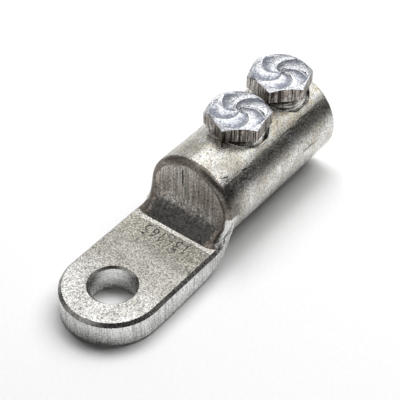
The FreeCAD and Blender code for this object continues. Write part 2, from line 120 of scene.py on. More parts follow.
class Term:
    """One output socket of a node tree; Python's operators on it add Math nodes."""

    def __init__(self, graph: "Graph", socket: NodeSocket) -> None:
        """Wraps a socket of the graph's tree."""
        self.graph = graph
        self.socket = socket

    def apply(self, operation: str, *others: Value, flipped: bool = False) -> "Term":
        """Adds a Math node.

        Args:
            operation: the Math node's operation.
            others: the second and third operands.
            flipped: True where this term is the second operand.

        Returns:
            The node's value.
        """
        operands: list[Value] = [self, *others]
        if flipped:
            operands.reverse()
        return self.graph.node(
            "ShaderNodeMath", {"operation": operation}, dict(enumerate(operands))
        )

    def __add__(self, other: Value) -> "Term":
        """Sum."""
        return self.apply("ADD", other)

    __radd__ = __add__

    def __sub__(self, other: Value) -> "Term":
        """Difference."""
        return self.apply("SUBTRACT", other)

    def __rsub__(self, other: float) -> "Term":
        """Difference with this term taken away."""
        return self.apply("SUBTRACT", other, flipped=True)

    def __mul__(self, other: Value) -> "Term":
        """Product."""
        return self.apply("MULTIPLY", other)

    __rmul__ = __mul__

    def __truediv__(self, other: Value) -> "Term":
        """Quotient."""
        return self.apply("DIVIDE", other)

    def __rtruediv__(self, other: float) -> "Term":
        """Quotient with this term below."""
        return self.apply("DIVIDE", other, flipped=True)

    def __pow__(self, other: float) -> "Term":
        """Power."""
        return self.apply("POWER", other)

    def __gt__(self, other: float) -> "Term":
        """Is 1 where this term is the larger."""
        return self.apply("GREATER_THAN", other)

    def at_least(self, low: Value) -> "Term":
        """The larger of the term and low."""
        return self.apply("MAXIMUM", low)

    def at_most(self, high: Value) -> "Term":
        """The smaller of the term and high."""
        return self.apply("MINIMUM", high)

    def fraction(self) -> "Term":
        """The part above the next lower whole number."""
        return self - self.apply("FLOOR")

    def ramp(self, low: float, high: float, start: float = 0.0, end: float = 1.0) -> "Term":
        """Runs smoothly from start to end as the term goes from low to high.

        Args:
            low: where the change starts.
            high: where it ends.
            start: the value up to low.
            end: the value from high on.

        Returns:
            The value.
        """
        return self.graph.node(
            "ShaderNodeMapRange",
            {"interpolation_type": "SMOOTHSTEP"},
            {0: self, 1: low, 2: high, 3: start, 4: end},
        )

    def within(self, low: float, high: float, soft: float) -> "Term":
        """Is 1 between low and high and falls to 0 over soft outside them."""
        return self.ramp(low - soft, low) * (1.0 - self.ramp(high, high + soft))


class Graph:
    """Adds nodes to one shader, world or geometry node tree."""

    def __init__(self, tree: NodeTree) -> None:
        """Empties the tree."""
        self.tree = tree
        tree.nodes.clear()

    @staticmethod
    def find(sockets: Any, key: Union[int, str]) -> NodeSocket:
        """Finds a socket by its index, identifier or name."""
        if isinstance(key, int):
            return sockets[key]
        return next((s for s in sockets if s.identifier == key), None) or sockets[key]

    def node(
        self,
        kind: str,
        settings: Optional[Mapping[str, Any]] = None,
        inputs: Optional[Mapping[Union[int, str], Any]] = None,
        output: Union[int, str] = 0,
    ) -> Term:
        """Adds one node.

        Args:
            kind: the node's type.
            settings: the node's own settings, which are set first.
            inputs: the values or links of its sockets.
            output: the output socket wanted.

        Returns:
            That output.
        """
        made = self.tree.nodes.new(kind)
        for name, value in (settings or {}).items():
            setattr(made, name, value)
        for key, value in (inputs or {}).items():
            socket = self.find(made.inputs, key)
            if isinstance(value, Term):
                self.tree.links.new(value.socket, socket)
            else:
                socket.default_value = value
        return Term(self, self.find(made.outputs, output) if made.outputs else None)

    def other(self, term: Term, output: Union[int, str]) -> Term:
        """Returns another output of the node that the term comes from."""
        return Term(self, self.find(term.socket.node.outputs, output))

    def parts(self, vector: Term) -> tuple[Term, Term, Term]:
        """Splits a vector into its three values."""
        x = self.node("ShaderNodeSeparateXYZ", None, {0: vector})
        return x, self.other(x, 1), self.other(x, 2)

    def join(self, x: Any, y: Any, z: Any) -> Term:
        """Makes a vector of three values."""
        return self.node("ShaderNodeCombineXYZ", None, {0: x, 1: y, 2: z})

    def stretch(self, vector: Term, factors: Sequence[float]) -> Term:
        """Multiplies a vector by three factors."""
        return self.node(
            "ShaderNodeVectorMath", {"operation": "MULTIPLY"}, {0: vector, 1: tuple(factors)}
        )

    def millimetres(self) -> Term:
        """Returns the object coordinates in mm."""
        place = self.node("ShaderNodeTexCoord", None, None, "Object")
        return self.stretch(place, (1.0 / MM,) * 3)

    def noise(self, vector: Term, size: float, detail: float = 2.0, rough: float = 0.5) -> Term:
        """Adds a noise texture whose patches have a size in the vector's unit.

        Args:
            vector: the coordinates.
            size: the size of the coarsest patches.
            detail: how many finer layers there are.
            rough: how strong the finer layers are.

        Returns:
            The noise, which lies round 0.5.
        """
        return self.node(
            "ShaderNodeTexNoise",
            None,
            {"Vector": vector, "Scale": 1.0 / size, "Detail": detail, "Roughness": rough},
        )

    def blend(self, factor: Value, first: Any, second: Any) -> Term:
        """Mixes two colours.

        Args:
            factor: the share of the second colour.
            first: a colour or its term.
            second: a colour or its term.

        Returns:
            The mixed colour.
        """
        first, second = ((*c, 1.0) if isinstance(c, tuple) else c for c in (first, second))
        return self.node(
            "ShaderNodeMix",
            {"data_type": "RGBA"},
            {"Factor_Float": factor, "A_Color": first, "B_Color": second},
            "Result_Color",
        )


class Marks(Enum):
    """The way that tool marks run on a surface, as stretch factors of its coordinates."""

    NONE = (1.0, 1.0, 1.0)
    UPRIGHT = (1.0, 1.0, 0.03)
    ALONG = (0.025, 1.0, 1.0)
    BORED = (1.0, 0.0, 0.0)
    TURNED = (0.0, 0.0, 1.0)
    FACED = (0.0, 1.0, 1.0)


@dataclass(frozen=True)
class MetalFinish:
    """One finish of bare metal: its colour, grain, tool marks, soil and wear."""

    name: str
    tint: Colour = (0.90, 0.895, 0.865)
    blotch_tint: Colour = (0.79, 0.775, 0.735)
    soil_tint: Colour = (0.13, 0.11, 0.095)
    soil: float = 0.25
    roughness: float = 0.25
    grain_size: float = 0.5
    grain_depth: float = 0.03
    speck: float = 0.46
    marks: Marks = Marks.NONE
    mark_angle: float = 0.0
    mark_size: float = 0.5
    mark_depth: float = 0.0
    mark_soil: float = 0.0
    mark_tone: float = 0.0

    def mark_place(self, graph: Graph, place: Term) -> Term:
        """Stretches the coordinates so that noise on them runs as the tool marks do.

        Args:
            graph: the material's graph.
            place: the object coordinates, in mm.

        Returns:
            The coordinates for the marks.
        """
        if self.marks is Marks.FACED:
            _, y, z = graph.parts(place)
            up = z - BARREL_AXIS
            return graph.join((y * y + up * up) ** 0.5, 0.0, 0.0)
        if self.mark_angle:
            place = graph.node(
                "ShaderNodeVectorRotate",
                {"rotation_type": "Z_AXIS"},
                {"Vector": place, "Angle": math.radians(self.mark_angle)},
            )
        return graph.stretch(place, self.marks.value)

    def tone(self, graph: Graph, place: Term, colour: Term) -> Term:
        """Returns the colour changed by what is special to the finish; here nothing is."""
        return colour

    def dullness(self, graph: Graph, place: Term) -> Value:
        """Returns the roughness between the marks; here it is the same all over."""
        return self.roughness

    def relief(self, graph: Graph, place: Term, height: Term) -> Term:
        """Returns the surface's height, in mm, changed by what is special to the finish."""
        return height

    def build(self) -> Material:
        """Makes the finish's material.

        Returns:
            A Principled metal whose colour, roughness and bump follow noise in object space.
        """
        material = bpy.data.materials.new(self.name)
        material.use_nodes = True
        graph = Graph(material.node_tree)
        place = graph.millimetres()
        grain = graph.noise(place, self.grain_size, 3.0, 0.65)
        blotch = graph.noise(place, BLOTCH_SIZE, 4.0, 0.62)
        pits = graph.noise(place, PIT_SIZE, 2.0, 0.6)
        lines = graph.noise(self.mark_place(graph, place), self.mark_size, 3.0, 0.65)
        dark = pits.ramp(*PIT_SPAN) * (self.soil * 2.2)
        dark = dark + (1.0 - blotch.ramp(*GRIME_SPAN)) * (self.soil * 0.4)
        if self.mark_soil:
            dark = dark + lines.ramp(*LINE_SOIL_SPAN) * self.mark_soil
        colour = graph.blend(blotch.ramp(*BLOTCH_SPAN), self.blotch_tint, self.tint)
        colour = self.tone(graph, place, colour)
        shade = grain.ramp(*GRAIN_SPAN, 1.0 - self.speck, 1.0)
        if self.mark_tone:
            shade = shade * lines.ramp(*LINE_SPAN, 1.0 - self.mark_tone, 1.0)
        colour = graph.node(
            "ShaderNodeVectorMath", {"operation": "SCALE"}, {0: colour, "Scale": shade}
        )
        colour = graph.blend(dark.at_most(MOST_SOIL), colour, self.soil_tint)
        rough = grain.ramp(0.3, 0.7, -0.05, 0.07) + self.dullness(graph, place) + dark * 0.3
        height = grain * self.grain_depth
        if self.mark_depth:
            height = height + lines * self.mark_depth
        height = self.relief(graph, place, height)
        bump = graph.node(
            "ShaderNodeBump", None, {"Strength": 1.0, "Distance": MM, "Height": height}, "Normal"
        )
        surface = graph.node(
            "ShaderNodeBsdfPrincipled",
            None,
            {"Base Color": colour, "Metallic": 1.0, "Roughness": rough, "Normal": bump},
        )
        graph.node("ShaderNodeOutputMaterial", None, {"Surface": surface})
        return material


@dataclass(frozen=True)
class PalmFinish(MetalFinish):
    """The palm's top, with painted shade past the stud hole, painted light towards the crease, and
    a smooth raised strip at the crease with a painted highlight.
    """

    strip_start: float = 25.2
    strip_end: float = 26.6
    strip_slope: float = 0.19
    strip_roughness: float = 0.22
    # Painted highlight on the raised strip at the crease.
    strip_painted_highlight_tint: Colour = (1.0, 0.98, 0.90)
    # Painted shade laid on the palm past the stud hole, then painted light towards the crease.
    palm_shade_span: Span = (-8.0, 10.0)
    palm_painted_shade_tint: Colour = (0.52, 0.50, 0.45)
    palm_light_span: Span = (15.0, 19.0)
    palm_painted_light_tint: Colour = (0.98, 0.95, 0.86)
    dull_span: Span = (14.0, 19.0)
    dull_roughness: float = 0.68

    def tone(self, graph: Graph, place: Term, colour: Term) -> Term:
        """Paints shade on the metal past the stud hole, paints light back towards the crease and
        paints a highlight on the strip.

        Args:
            graph: the material's graph.
            place: the object coordinates, in mm.
            colour: the metal's colour.

        Returns:
            The changed colour.
        """
        x, _, _ = graph.parts(place)
        # Painted shade past the stud hole, then painted light towards the crease.
        colour = graph.blend(x.ramp(*self.palm_shade_span, 0.0, 0.9), colour, self.palm_painted_shade_tint)
        colour = graph.blend(x.ramp(*self.palm_light_span), colour, self.palm_painted_light_tint)
        # Painted highlight along the raised strip.
        strip = x.within(self.strip_start, self.strip_end, 0.2)
        return graph.blend(strip, colour, self.strip_painted_highlight_tint)

    def dullness(self, graph: Graph, place: Term) -> Value:
        """Roughens the part that lies under the step, all but the strip.

        Args:
            graph: the material's graph.
            place: the object coordinates, in mm.

        Returns:
            The roughness between the marks.
        """
        x, _, _ = graph.parts(place)
        strip = x.ramp(self.strip_start - 0.3, self.strip_start)
        dull = x.ramp(*self.dull_span, self.roughness, self.dull_roughness)
        return dull * (1.0 - strip) + strip * self.strip_roughness

    def relief(self, graph: Graph, place: Term, height: Term) -> Term:
        """Raises the strip towards the crease.

        Args:
            graph: the material's graph.
            place: the object coordinates, in mm.
            height: the surface's height, in mm.

        Returns:
            The changed height.
        """
        x, _, _ = graph.parts(place)
        climb = (x - self.strip_start).at_least(0.0)
        return height + climb * self.strip_slope


@dataclass(frozen=True)
class BarrelFinish(MetalFinish):
    """The barrel, with a warm bloom on top round the bolts and painted shade behind the step's rim.
    """

    bloom_heights: Span = (22.0, 27.0)
    bloom_span: Span = (40.0, 56.0)
    bloom_tint: Colour = (0.86, 0.76, 0.52)
    # Painted shade on the barrel's shoulder just behind the rim.
    rim_shade_heights: Span = (14.5, 23.0)
    rim_shade_span: Span = (36.0, 41.0)
    rim_painted_shade_tint: Colour = (0.17, 0.155, 0.14)
    rim_shade_softness: float = 2.5
    raggedness: float = 1.6

    def tone(self, graph: Graph, place: Term, colour: Term) -> Term:
        """Lays the warm bloom over patches of the crown and paints shade behind the rim.

        Args:
            graph: the material's graph.
            place: the object coordinates, in mm.
            colour: the metal's colour.

        Returns:
            The changed colour.
        """
        x, _, z = graph.parts(place)
        patch = graph.noise(place, 1.4, 3.0, 0.7).ramp(0.45, 0.62)
        bloom = z.ramp(*self.bloom_heights) * x.ramp(*self.bloom_span, 0.25, 0.8) * patch
        colour = graph.blend(bloom, colour, self.bloom_tint)
        ragged = (patch - 0.5) * self.raggedness
        # Painted shade behind the rim, with ragged edges.
        rim_shade = (x + ragged).ramp(*self.rim_shade_span, 0.85, 0.0)
        rim_shade = rim_shade * (z + ragged).within(*self.rim_shade_heights, self.rim_shade_softness)
        return graph.blend(rim_shade, colour, self.rim_painted_shade_tint)


@dataclass(frozen=True)
class StepFinish(MetalFinish):
    """The step, smooth in its hollow and rough and brown on its upright face, with painted shade in
    the hollow and at the foot next to the rim.
    """

    rough_heights: Span = (11.0, 15.0)
    rough_face: float = 0.55
    edge_reach: Span = (10.2, 11.4)
    edge_heights: Span = (13.0, 19.0)
    # Painted shade: the edge tint at the foot beside the rim, the hollow tint in the hollow.
    edge_painted_shade_tint: Colour = (0.42, 0.36, 0.31)
    hollow_heights: Span = (11.0, 14.5)
    hollow_painted_shade_tint: Colour = (0.13, 0.127, 0.121)

    def tone(self, graph: Graph, place: Term, colour: Term) -> Term:
        """Paints shade into the hollow, and onto the foot of the step next to the rim on both
        sides.

        Args:
            graph: the material's graph.
            place: the object coordinates, in mm.
            colour: the metal's colour.

        Returns:
            The changed colour.
        """
        _, y, z = graph.parts(place)
        patch = graph.noise(place, 1.1, 3.0, 0.7).ramp(0.35, 0.6, -0.8, 0.8)
        # Painted shade in the hollow.
        colour = graph.blend((z + patch).ramp(*self.hollow_heights), self.hollow_painted_shade_tint, colour)
        # Painted shade at the foot of the step beside the rim.
        side = (y.apply("ABSOLUTE") + patch).ramp(*self.edge_reach)
        return graph.blend(side * z.ramp(*self.edge_heights, 0.9, 0.0), colour, self.edge_painted_shade_tint)

    def dullness(self, graph: Graph, place: Term) -> Value:
        """Roughens the upright face."""
        _, _, z = graph.parts(place)
        return z.ramp(*self.rough_heights, self.roughness, self.rough_face)


@dataclass(frozen=True)
class CrownFinish(MetalFinish):
    """A head's crown, bright where its pressed blades stand up, with painted shade greying them
    where they lie low.
    """

    # Painted shade on the low part of each blade.
    low_blade_shade_span: Span = (0.62, 1.25)
    low_blade_painted_shade_tint: Colour = (0.25, 0.27, 0.32)

    def tone(self, graph: Graph, place: Term, colour: Term) -> Term:
        """Paints grey shade on the low part of each blade.

        Args:
            graph: the material's graph.
            place: the object coordinates, in mm.
            colour: the metal's colour.

        Returns:
            The changed colour.
        """
        blade = graph.node("ShaderNodeAttribute", {"attribute_name": "blade"}, None, "Fac")
        patch = graph.noise(place, 1.6, 3.0, 0.65)
        # Painted shade where the blade lies low.
        low = (blade * 0.9 + patch * 0.9).ramp(*self.low_blade_shade_span)
        return graph.blend(low, colour, self.low_blade_painted_shade_tint)


class Zone(Enum):
    """The surfaces of the lug's body, each with its own finish."""

    PALM_TOP = PalmFinish(
        "palm_top_metal",
        speck=0.62,
        soil=0.26,
        marks=Marks.ALONG,
        mark_angle=-25.0,
        mark_size=0.7,
        mark_depth=0.012,
    )
    WALL = MetalFinish(
        "side_wall_metal",
        tint=(1.0, 1.0, 0.985),
        blotch_tint=(0.93, 0.925, 0.90),
        marks=Marks.UPRIGHT,
        mark_depth=0.05,
        mark_soil=0.1,
        mark_tone=0.3,
        speck=0.36,
        soil=0.12,
    )
    # The bevel's dark tint is a painted dark reflection.
    BEVEL = MetalFinish(
        "worn_bevel_metal", tint=(0.44, 0.43, 0.41), blotch_tint=(0.34, 0.33, 0.31), soil=0.35
    )
    LIP = MetalFinish("recess_lip_metal", roughness=0.2, soil=0.1)
    # The rim's dark tint is painted shade on the arched rim.
    RIM = MetalFinish(
        "step_rim_metal",
        tint=(0.35, 0.315, 0.28),
        blotch_tint=(0.22, 0.19, 0.165),
        soil=0.45,
        roughness=0.3,
        grain_depth=0.035,
        marks=Marks.UPRIGHT,
        mark_size=0.7,
        mark_depth=0.03,
    )
    STEP = StepFinish(
        "step_face_metal",
        tint=(1.0, 0.945, 0.88),
        blotch_tint=(0.88, 0.80, 0.73),
        soil=0.3,
        roughness=0.26,
        grain_depth=0.05,
        speck=0.55,
        marks=Marks.UPRIGHT,
        mark_size=0.8,
        mark_depth=0.06,
        mark_soil=0.3,
        mark_tone=0.4,
    )
    BARREL = BarrelFinish(
        "barrel_metal",
        blotch_tint=(0.72, 0.69, 0.62),
        roughness=0.24,
        grain_depth=0.034,
        marks=Marks.ALONG,
        mark_depth=0.02,
        mark_tone=0.12,
    )
    MOUTH = MetalFinish("mouth_face_metal", marks=Marks.FACED, mark_size=0.6, mark_depth=0.04)
    STUD_WALL = MetalFinish(
        "stud_hole_metal",
        tint=(1.0, 1.0, 0.985),
        blotch_tint=(0.92, 0.92, 0.90),
        speck=0.2,
        soil=0.08,
        marks=Marks.TURNED,
        mark_size=0.5,
        mark_depth=0.03,
        mark_tone=0.2,
    )
    SOCKET = MetalFinish(
        "cable_socket_metal",
        tint=(0.66, 0.66, 0.65),
        marks=Marks.BORED,
        mark_depth=0.05,
        mark_tone=0.2,
    )
    # The recess wall's dark tint and heavy soil are painted shade under the head.
    BOLT_HOLE = MetalFinish(
        "bolt_hole_metal", tint=(0.22, 0.21, 0.2), soil=0.8, marks=Marks.TURNED, mark_depth=0.05
    )
    # The grooves' near-black tint is painted shade inside the cut marks.
    STRUCK = MetalFinish(
        "struck_mark_metal",
        tint=(0.05, 0.046, 0.042),
        blotch_tint=(0.03, 0.028, 0.026),
        soil_tint=(0.02, 0.018, 0.016),
        roughness=0.45,
    )


def mesh_object(name: str, mesh: Mesh) -> Object:
    """Links a new object that holds the mesh to the scene.

    Args:
        name: the object's name.
        mesh: its mesh.

    Returns:
        The object.
    """
    made = bpy.data.objects.new(name, mesh)
    bpy.context.scene.collection.objects.link(made)
    return made


def taken_off(holder: Object, name: str) -> Mesh:
    """Turns an object's evaluated modifiers into a plain mesh and removes the object.

    Args:
        holder: the object with its modifiers set.
        name: the name of the new mesh.

    Returns:
        The plain mesh.
    """
    bpy.context.view_layer.update()
    evaluated = holder.evaluated_get(bpy.context.evaluated_depsgraph_get())
    mesh = bpy.data.meshes.new_from_object(evaluated)
    mesh.name = name
    holder.modifiers.clear()
    bpy.data.objects.remove(holder)
    return mesh


@contextmanager
def opened(mesh: Mesh) -> Iterator[bmesh.types.BMesh]:
    """Opens a mesh for editing and writes it back afterwards.

    Args:
        mesh: the mesh.

    Yields:
        The open mesh.
    """
    shell = bmesh.new()
    shell.from_mesh(mesh)
    yield shell
    shell.to_mesh(mesh)
    shell.free()


def lofted(name: str, sections: Sequence[Section]) -> Mesh:
    """Joins sections that lie across the barrel into a closed form, and mirrors it.

    Args:
        name: the mesh's name.
        sections: for each, its place along the barrel and its corners across and up, in mm.

    Returns:
        The form and its mirror image, in metres.
    """
    mesh = bpy.data.meshes.new(name)
    with opened(mesh) as shell:
        for side in (-1.0, 1.0):
            rings = [
                [shell.verts.new((x * MM, side * across * MM, up * MM)) for across, up in corners]
                for x, corners in sections
            ]
            for near, far in zip(rings, rings[1:]):
                for index in range(len(near)):
                    following = (index + 1) % len(near)
                    shell.faces.new((near[index], near[following], far[following], far[index]))
            shell.faces.new(rings[0])
            shell.faces.new(rings[-1])
        bmesh.ops.recalc_face_normals(shell, faces=shell.faces)
    return mesh


def crease_sharp(mesh: Mesh, degrees: float) -> None:
    """Shades a mesh smooth except along edges that turn by more than the angle.

    Args:
        mesh: the mesh.
        degrees: the angle.
    """
    limit = math.radians(degrees)
    with opened(mesh) as shell:
        for face in shell.faces:
            face.smooth = True
        for edge in shell.edges:
            edge.smooth = len(edge.link_faces) == 2 and edge.calc_face_angle(0.0) < limit


def fence_off(mesh: Mesh, metal: Material) -> None:
    """Creases every edge between the faces of one metal and the faces of the others.

    Args:
        mesh: the mesh.
        metal: the metal to fence off.
    """
    slot = mesh.materials.find(metal.name)
    with opened(mesh) as shell:
        for edge in shell.edges:
            if len({face.material_index == slot for face in edge.link_faces}) > 1:
                edge.smooth = False


class GeometryRecipe:
    """A geometry node tree with named inputs, run once to give a plain mesh."""

    def __init__(self, name: str) -> None:
        """Makes an empty tree.

        Args:
            name: the tree's name, and its mesh's.
        """
        self.tree = bpy.data.node_groups.new(name, "GeometryNodeTree")
        for way in ("INPUT", "OUTPUT"):
            self.tree.interface.new_socket(
                "Geometry", in_out=way, socket_type="NodeSocketGeometry"
            )
        self.graph = Graph(self.tree)
        self.values: dict[str, float] = {}
        self.source = self.graph.node("NodeGroupInput")

    def size(self, name: str, value: float) -> Term:
        """Adds a named number input.

        Args:
            name: the input's name.
            value: the number that the modifier gives it.

        Returns:
            The input as a term.
        """
        socket = self.tree.interface.new_socket(name, in_out="INPUT", socket_type="NodeSocketFloat")
        self.values[socket.identifier] = float(value)
        return self.graph.other(self.source, socket.identifier)

    def sheet(self, columns: int, rows: int) -> tuple[Term, Term, Term]:
        """Adds a grid to be bent to shape.

        Args:
            columns: the faces along its first side.
            rows: the faces along its second side.

        Returns:
            The grid, and its two coordinates, which run from 0 to 1.
        """
        grid = self.graph.node(
            "GeometryNodeMeshGrid",
            None,
            {"Size X": 1.0, "Size Y": 1.0, "Vertices X": columns + 1, "Vertices Y": rows + 1},
        )
        across, along, _ = self.graph.parts(self.graph.other(grid, 1))
        return grid, across, along

    def place(self, geometry: Term, x: Any, y: Any, z: Any) -> Term:
        """Puts every point of a geometry at x, y, z."""
        return self.graph.node(
            "GeometryNodeSetPosition", None, {0: geometry, "Position": self.graph.join(x, y, z)}
        )

    def note(self, geometry: Term, name: str, value: Any, domain: str = "POINT") -> Term:
        """Stores a number on every point or face under a name.

        Args:
            geometry: what it is stored on.
            name: the number's name.
            value: the number.
            domain: POINT or FACE.

        Returns:
            The geometry.
        """
        return self.graph.node(
            "GeometryNodeStoreNamedAttribute",
            {"data_type": "FLOAT", "domain": domain},
            {0: geometry, "Name": name, "Value": value},
        )

    def noted(self, name: str) -> Term:
        """Reads a stored number."""
        return self.graph.node(
            "GeometryNodeInputNamedAttribute", {"data_type": "FLOAT"}, {"Name": name}
        )

    def ring(self, radius: Value, points: int) -> Term:
        """Adds a circle of so many points."""
        return self.graph.node(
            "GeometryNodeCurvePrimitiveCircle", None, {"Resolution": points, "Radius": radius}
        )

    def tube(self, path: Term, radius: Term, widths: Term) -> Term:
        """Sweeps a circle along a curve and closes the ends.

        Args:
            path: the curve.
            radius: the circle's radius where the width is 1.
            widths: the width at each point of the curve.

        Returns:
            The swept form.
        """
        graph = self.graph
        sized = graph.node("GeometryNodeSetCurveRadius", None, {0: path, "Radius": widths})
        circle = self.ring(radius, TUBE_SIDES)
        scale = graph.node("GeometryNodeInputRadius")
        return graph.node(
            "GeometryNodeCurveToMesh",
            None,
            {0: sized, 1: circle, "Scale": scale, "Fill Caps": True},
        )

    def run(
        self,
        geometry: Term,
        metals: Sequence[Material],
        source: Optional[Mesh] = None,
        weld: float = WELD_DISTANCE,
    ) -> Mesh:
        """Closes the tree and evaluates it.

        Args:
            geometry: the last geometry.
            metals: its materials; where there are several, the number noted as metal picks one.
            source: the mesh that the tree starts from.
            weld: the distance under which points are merged, in metres.

        Returns:
            The plain mesh.
        """
        graph = self.graph
        if weld:
            geometry = graph.node(
                "GeometryNodeMergeByDistance", None, {0: geometry, "Distance": weld}
            )
        dressed = graph.node("GeometryNodeRealizeInstances", None, {0: geometry})
        for number, metal in enumerate(metals):
            settings: dict[Any, Any] = {0: dressed, "Material": metal}
            if number:
                settings["Selection"] = self.noted("metal") > number - 0.5
            dressed = graph.node("GeometryNodeSetMaterial", None, settings)
        graph.node("NodeGroupOutput", None, {0: dressed})
        holder = mesh_object(self.tree.name, source or bpy.data.meshes.new(self.tree.name))
        modifier = holder.modifiers.new("shape", "NODES")
        modifier.node_group = self.tree
        for identifier, value in self.values.items():
            modifier[identifier] = value
        return taken_off(holder, self.tree.name)


@dataclass
class ShearBolt:
    """One shear bolt: a threaded shank, a neck and a hexagon head with a swirl on its crown."""

    name: str
    node: str
    body: str
    turn: float
    seed: float
    head_width: float = 17.0
    head_height: float = 4.5
    crown_radius: float = 8.3
    crown_slope: float = math.tan(math.radians(30.0))
    neck_radius: float = 6.9
    neck_length: float = 1.2
    neck_flare: float = 2.2
    thread_radius: float = 8.0
    thread_depth: float = 0.75
    tooth_flank: Span = (0.12, 0.88)
    pitch: float = 1.5
    tip_bevel: float = 0.9
    corner_radius: float = 9.75
    saw_marks: float = 70.0
    saw_depth: float = 0.2
    saw_lean: float = 0.6
    saw_band: tuple[float, float, float] = (0.12, 0.9, 0.1)
    seam_width: float = 0.01
    swirl_depth: float = 0.4
    swirl_blades: int = 5
    swirl_bend: float = 0.19
    swirl_margin: float = 0.7
    blade_rise: float = 0.14
    columns: int = 240
    shank_rows: int = 84
    head_rows: tuple[int, int, int, int] = (3, 14, 4, 30)
    crease_angle: float = 26.0

    def shank(self, recipe: GeometryRecipe, axis_x: float, tip: float, underside: float) -> Term:
        """Makes the tip, the thread and the neck.

        Args:
            recipe: the tree to add to.
            axis_x: the bolt's place along the barrel, in mm.
            tip: the height of its tip, in mm.
            underside: the height of the head's underside, in mm.

        Returns:
            The open shank.
        """
        radius = recipe.size("Thread radius", self.thread_radius)
        depth = recipe.size("Thread depth", self.thread_depth)
        pitch = recipe.size("Pitch", self.pitch)
        neck = recipe.size("Neck radius", self.neck_radius)
        rows = self.shank_rows
        sheet, across, along = recipe.sheet(self.columns, rows)
        angle = across * TAU
        climb = (along * rows - 2.0).at_least(0.0) / (rows - 2.0)
        height = climb * (underside - tip) + tip
        turns = (height - tip) / pitch - across
        tooth = (turns.fraction() - 0.5).apply("ABSOLUTE") * 2.0
        ridge = radius - depth * tooth.ramp(*self.tooth_flank)
        ridge = ridge.at_most(height - tip + (self.thread_radius - self.tip_bevel))
        taper = (underside - self.neck_length + 0.25 - height) * self.neck_flare + neck
        ridge = ridge.at_most(taper).at_least(neck)
        ridge = ridge * (along * rows / 2.0).at_most(1.0)
        shaped = recipe.place(
            sheet,
            (ridge * angle.apply("COSINE") + axis_x) * MM,
            ridge * angle.apply("SINE") * MM,
            height * MM,
        )
        return recipe.note(shaped, "metal", 0.0, "FACE")

    def head(self, recipe: GeometryRecipe, axis_x: float, underside: float) -> Term:
        """Makes the hexagon head from its underside to the middle of its crown.

        Args:
            recipe: the tree to add to.
            axis_x: the bolt's place along the barrel, in mm.
            underside: the height of the head's underside, in mm.

        Returns:
            The open head.
        """
        half = recipe.size("Half width", self.head_width / 2.0)
        crown = recipe.size("Crown radius", self.crown_radius)
        relief = recipe.size("Swirl depth", self.swirl_depth)
        seed = recipe.size("Seed", self.seed)
        under, side, bevel, face = self.head_rows
        rows = under + side + bevel + face
        sheet, across, along = recipe.sheet(self.columns, rows)
        aside = (across * HEXAGON_SIDES).fraction() - 0.5
        corner = half / (aside * (TAU / HEXAGON_SIDES)).apply("COSINE")
        corner = corner.at_most(self.corner_radius)
        row = along * rows

        def share(first: int, last: int) -> Term:
            """Runs from 0 to 1 between two rows."""
            return ((row - first) / (last - first)).at_least(0.0).at_most(1.0)

        low = share(0, under)
        mid = share(under, under + side)
        slope = share(under + side, under + side + bevel)
        flat = share(under + side + bevel, rows)
        top = underside + self.head_height
        shoulder = top - (corner - crown) * self.crown_slope
        sawn = recipe.graph.join(across * self.saw_marks, mid * self.saw_lean, seed)
        stripes = recipe.graph.noise(sawn, 1.0, 3.0, 0.7)
        grooves = (stripes - 0.5) * self.saw_depth * mid.within(*self.saw_band)
        seam = self.seam_width
        grooves = grooves * across.ramp(0.0, seam) * across.ramp(1.0 - seam, 1.0, 1.0, 0.0)
        radius = low * (corner - self.neck_radius) + self.neck_radius + grooves
        radius = radius + slope * (crown - corner)
        radius = radius - flat * crown
        blade = (across + radius * (self.swirl_bend / TAU)) * float(self.swirl_blades)
        phase = blade.fraction()
        swirl = (phase.ramp(0.0, self.blade_rise) - phase) * relief
        margin = self.swirl_margin
        swirl = swirl * radius.within(margin, self.crown_radius - margin, 0.5)
        height = mid * (shoulder - underside) + underside + slope * (top - shoulder)
        height = height - (relief - swirl) * flat.ramp(0.0, 0.06)
        angle = across * TAU + math.radians(self.turn)
        shaped = recipe.place(
            sheet,
            (radius * angle.apply("COSINE") + axis_x) * MM,
            radius * angle.apply("SINE") * MM,
            height * MM,
        )
        shaped = recipe.note(shaped, "blade", phase * flat.ramp(0.0, 0.05))
        return recipe.note(shaped, "metal", (row > under + side) + 1.0, "FACE")

    def build(self, metals: Sequence[Material]) -> Object:
        """Joins the head and the shank into one closed piece.

        Args:
            metals: the materials of the shank, the head's sides and the head's crown.

        Returns:
            The piece, riding on its body in place of its node.
        """
        low, high = (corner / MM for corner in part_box(self.node))
        axis_x = (low.x + high.x) / 2.0
        underside = high.z - self.head_height
        recipe = GeometryRecipe(self.name)
        shank = self.shank(recipe, axis_x, low.z, underside)
        head = self.head(recipe, axis_x, underside)
        both = recipe.graph.node("GeometryNodeJoinGeometry", None, {0: shank})
        recipe.tree.links.new(head.socket, both.socket.node.inputs[0])
        mesh = recipe.run(both, metals)
        with opened(mesh) as shell:
            bmesh.ops.recalc_face_normals(shell, faces=shell.faces)
        crease_sharp(mesh, self.crease_angle)
        piece = mesh_object(self.name, mesh)
        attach(piece, self.body)
        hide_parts(self.node)
        LOG.info("%s: %d faces", self.name, len(mesh.polygons))
        return piece


# Places along a scratch, each with the tool's lift there as a share of the depth.
TAPER = ((0.0, 1.0), (0.25, 0.3), (0.5, 0.0), (0.75, 0.35), (1.0, 1.0))


